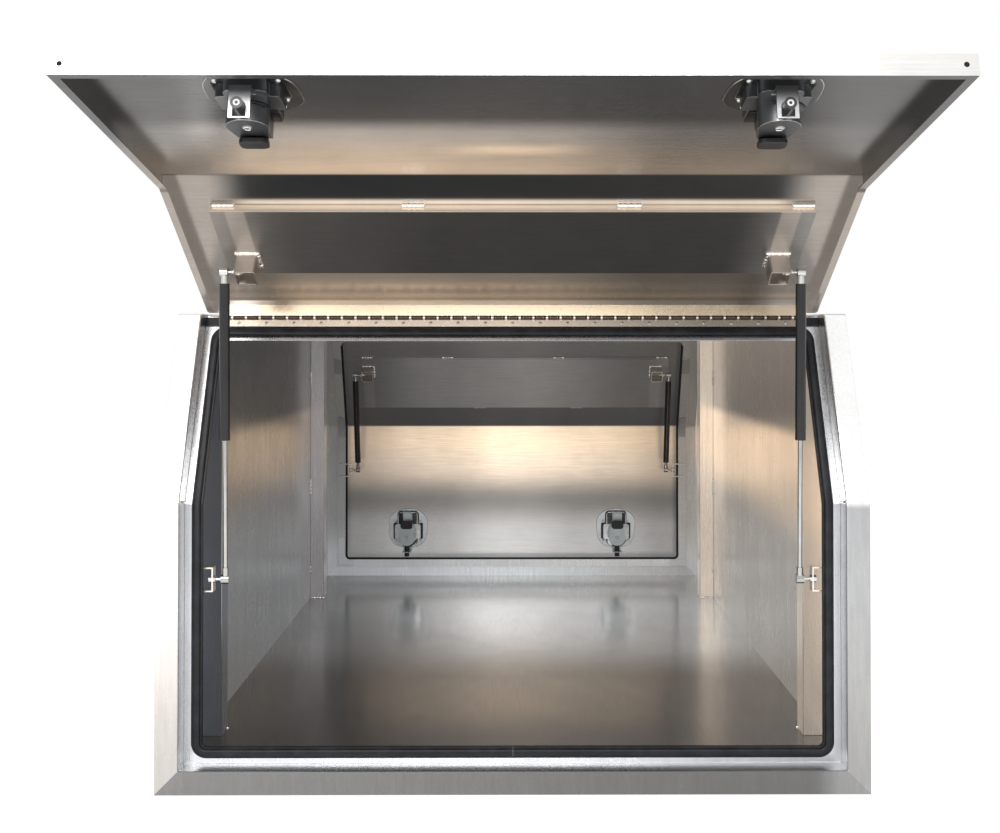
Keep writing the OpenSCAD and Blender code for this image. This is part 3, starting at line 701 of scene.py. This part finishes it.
def bead(ripples):
    """A run of weld ripples along X, drawn into one skin, 1 unit long."""
    step = 0.0032
    drop_r = 0.0040
    waver = 0.0005
    drops = []
    for i in range(ripples):
        bpy.ops.object.select_all(action="DESELECT")
        bpy.ops.mesh.primitive_ico_sphere_add(
            subdivisions=2, radius=drop_r + waver * math.sin(i * 2.3),
            location=(i * step, waver * math.sin(i * 1.7), 0))
        drops.append(bpy.context.object)
    run = joined(drops)
    settled(run)
    skin = run.modifiers.new("skin", "REMESH")
    skin.mode = "VOXEL"
    skin.voxel_size = 0.0011
    select_only(run)
    bpy.ops.object.modifier_apply(modifier="skin")
    bpy.ops.object.shade_smooth()
    length = (ripples - 1) * step
    mesh = run.data
    mesh.transform(Matrix.Diagonal((1 / length, 1 / drop_r, 1 / drop_r, 1)))
    bpy.data.objects.remove(run)
    return mesh


stitch_mesh = bead(12)
tack_mesh = bead(4)


def weld_runs(name, body, runs):
    """Welds from point to point, each (start, end, radius), as one piece."""
    pieces = []
    for start, stop, radius in runs:
        way = stop - start
        mesh = stitch_mesh if way.length > 0.022 else tack_mesh
        turn = way.to_track_quat("X", "Z").to_matrix().to_4x4()
        size = Matrix.Diagonal((way.length, radius, radius, 1))
        pieces.append(placed(mesh, Matrix.Translation(start) @ turn @ size))
    finished(joined(pieces), name, weld_metal, body)


def door_welds(end, lower, upper):
    """Stitches along the stiffener's lower and upper edges, and a run round each strut mount."""
    across = to_door[end] @ slope
    runs = []
    for spans, place in ((lower, pan_low - 0.003), (upper, pan_high + 0.002)):
        for start, stop in spans:
            runs.append((across @ Vector((start, place, sheet + 0.003)),
                         across @ Vector((stop, place, sheet + 0.003)), 0.0050))
    for side in (-1, 1):
        inner, outer = side * (stub_x - stub_half), side * (stub_x + stub_half)
        low, high = stub_s - stub_half, stub_s + stub_half
        corner = [(inner, low), (outer, low), (outer, high), (inner, high)]
        for i, radius in ((0, 0.0044), (1, 0.0026), (2, 0.0032), (3, 0.0048)):
            a, b = corner[i], corner[(i + 1) % 4]
            runs.append((across @ Vector((a[0], a[1], pan_d)), across @ Vector((b[0], b[1], pan_d)), radius))
    weld_runs(end + "_door_welds", end + "_door", runs)


door_welds("front", ((-.490, -.458), (-.180, -.147), (.173, .208), (.460, .492)),
           ((-.34, -.30), (-.02, .02), (.30, .34)))
door_welds("rear", ((-.120, -.086), (.191, .225)),
           ((-.475, -.443), (-.220, -.188), (.132, .164), (.459, .491)))


def cabinet_welds():
    """Tacks up both edges of each post and at its foot, and a short run at each fold of the rebates."""
    runs = []
    web_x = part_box("wall_posts")[1].x
    post_y = half_l - 0.278
    for side in (-1, 1):
        for end in (-1, 1):
            for edge in (post_y, post_y - 0.045):
                for low, high in ((0.635, 0.668), (0.310, 0.350), (0.078, 0.092)):
                    spot = Vector((side * (web_x - 0.001), end * edge, low))
                    runs.append((spot, spot + Vector((0, 0, high - low)), 0.0026))
            base = Vector((side * (web_x - 0.040), end * (post_y - 0.045), 0.003))
            runs.append((base, base + Vector((side * 0.036, 0, 0)), 0.0030))
    for end in ("front", "rear"):
        for side in (-1, 1):
            turn = to_end[end] @ upright
            runs.append((turn @ Vector((side * rebate_x, fold_z, 0.005)),
                         turn @ Vector((side * rebate_x, fold_z - 0.005, 0.036)), 0.0022))
    weld_runs("cabinet_welds", "cabinet", runs)


cabinet_welds()


def block(size, place, rounding):
    """A block with rounded edges, added at its size and place."""
    bpy.ops.object.select_all(action="DESELECT")
    bpy.ops.mesh.primitive_cube_add(size=1, location=place, scale=size)
    piece = bpy.context.object
    settled(piece)
    soft = piece.modifiers.new("soft", "BEVEL")
    soft.width = rounding
    soft.segments = 3
    bpy.ops.object.modifier_apply(modifier="soft")
    bpy.ops.object.shade_smooth_by_angle(angle=math.radians(35))
    return piece


def window_plate():
    """Dark plate over the dish's upper half, behind the pale block."""
    return block((0.058, 0.036, 0.0016), (0, 0.033, dish_d + 0.0009), 0.0007)


def curved_lever():
    """Flat lever that runs from the knob round the case."""
    bpy.ops.object.select_all(action="DESELECT")
    bpy.ops.mesh.primitive_plane_add(size=1)
    piece = bpy.context.object
    piece.data.transform(Matrix.Translation((0.0315, 0, 0.036)) @ Matrix.Rotation(math.pi / 2, 4, "X")
                         @ Matrix.Diagonal((0.0045, 0.0022, 1, 1)))
    bpy.ops.object.mode_set(mode="EDIT")
    bpy.ops.mesh.select_all(action="SELECT")
    bpy.ops.mesh.spin(steps=14, angle=math.radians(95), center=(0, 0, 0), axis=(0, 0, 1))
    bpy.ops.mesh.select_all(action="SELECT")
    bpy.ops.mesh.remove_doubles(threshold=0.00001)
    bpy.ops.mesh.fill_holes(sides=6)
    bpy.ops.mesh.normals_make_consistent(inside=False)
    bpy.ops.object.mode_set(mode="OBJECT")
    piece.data.transform(Matrix.Translation((0, -0.022, 0)) @ Matrix.Rotation(math.radians(-22), 4, "Z"))
    return piece


def hub():
    """Raised ring in the middle of the case."""
    bpy.ops.object.select_all(action="DESELECT")
    bpy.ops.mesh.primitive_torus_add(
        major_radius=0.0046, minor_radius=0.0009, major_segments=28, minor_segments=10,
        location=(0, -0.022, 0.0608))
    return settled(bpy.context.object)


def on_latches(maker, name, finish):
    """The same small part on all four latches, one piece on each door."""
    model = maker()
    for end in ("front", "rear"):
        face = to_door[end] @ upright
        piece = joined([placed(model.data, face @ Matrix.Translation((side * latch_x, latch_z, 0)))
                        for side in (-1, 1)])
        finished(piece, end + "_" + name, finish, end + "_door")
        select_only(piece)
        bpy.ops.object.shade_smooth_by_angle(angle=math.radians(35))
    bpy.data.objects.remove(model)


on_latches(window_plate, "latch_windows", dark_steel)
on_latches(curved_lever, "latch_levers", black_plastic)
on_latches(hub, "latch_hubs", latch_chrome)


def bolt_core():
    """Pale ring in the end of the bolt, with a hole in its middle."""
    bpy.ops.object.select_all(action="DESELECT")
    bpy.ops.mesh.primitive_torus_add(
        major_radius=0.0032, minor_radius=0.0013, major_segments=28, minor_segments=10,
        rotation=(math.pi / 2, 0, 0), location=(0, -bolt_tip + 0.0006, bolt_n))
    return settled(bpy.context.object)


core = bolt_core()
for end in ("front", "rear"):
    for side, hand in ((-1, "left"), (1, "right")):
        spot = to_door[end] @ upright @ Matrix.Translation((side * latch_x, latch_z, 0))
        ring = placed(core.data, spot)
        bolt_body = bodies[end + "_" + hand + "_bolt"]
        finished(ring, end + "_" + hand + "_bolt_core", white_core, bolt_body)
        select_only(ring)
        bpy.ops.object.shade_smooth()
bpy.data.objects.remove(core)


def studio():
    """Plain pale room: white to the camera and in mirror images, dimmer as a light, with two soft lamps."""
    world = bpy.data.worlds.new("studio")
    bpy.context.scene.world = world
    world.use_nodes = True
    tree = world.node_tree
    back = tree.nodes["Background"]
    path = tree.nodes.new("ShaderNodeLightPath")
    seen = tree.nodes.new("ShaderNodeMath")
    seen.operation = "MAXIMUM"
    tree.links.new(path.outputs["Is Camera Ray"], seen.inputs[0])
    tree.links.new(path.outputs["Is Glossy Ray"], seen.inputs[1])
    mix = tree.nodes.new("ShaderNodeMapRange")
    tree.links.new(seen.outputs[0], mix.inputs["Value"])
    mix.inputs["To Min"].default_value = 0.55
    mix.inputs["To Max"].default_value = 1.0
    tree.links.new(mix.outputs["Result"], back.inputs["Strength"])
    back.inputs["Color"].default_value = (1, 1, 1, 1)

    bpy.ops.object.select_all(action="DESELECT")
    bpy.ops.mesh.primitive_plane_add(size=14, location=(0, 2, -0.001))
    floor = settled(bpy.context.object)
    floor.name = "studio_floor"
    pale = Finish("pale_floor")
    pale.set(Base_Color=(0.86, 0.86, 0.86), Roughness=0.9)
    light = pale.add("ShaderNodeLightPath")
    lit = pale.out(light, "Is Camera Ray").maths("MAXIMUM", pale.out(light, "Is Glossy Ray"))
    glow = pale.add("ShaderNodeEmission", inputs={"Color": (1, 1, 1), "Strength": 0.55})
    add = pale.add("ShaderNodeAddShader")
    pale.tree.links.new(pale.shader.outputs[0], add.inputs[0])
    pale.tree.links.new(glow.outputs[0], add.inputs[1])
    both = pale.add("ShaderNodeMixShader")
    pale.tree.links.new(lit.link, both.inputs[0])
    pale.tree.links.new(pale.shader.outputs[0], both.inputs[1])
    pale.tree.links.new(add.outputs[0], both.inputs[2])
    pale.tree.links.new(both.outputs[0], pale.tree.nodes["Material Output"].inputs["Surface"])
    floor.data.materials.append(pale.material)

    def lamp(name, place, aim, size, power):
        data = bpy.data.lights.new(name, "AREA")
        data.shape = "RECTANGLE"
        data.size, data.size_y = size
        data.energy = power
        data.color = (1, 0.97, 0.93)
        obj = bpy.data.objects.new(name, data)
        bpy.context.scene.collection.objects.link(obj)
        obj.location = place
        obj.rotation_euler = (Vector(aim) - Vector(place)).to_track_quat("-Z", "Y").to_euler()

    lamp("front_softbox", (-0.6, -3.8, 2.4), (0, 0, 0.5), (2.6, 1.8), 95)
    lamp("top_softbox", (0.4, -0.2, 3.4), (0, 0, 0.6), (2.2, 2.2), 35)


studio()
bpy.context.scene.view_settings.view_transform = "Standard"
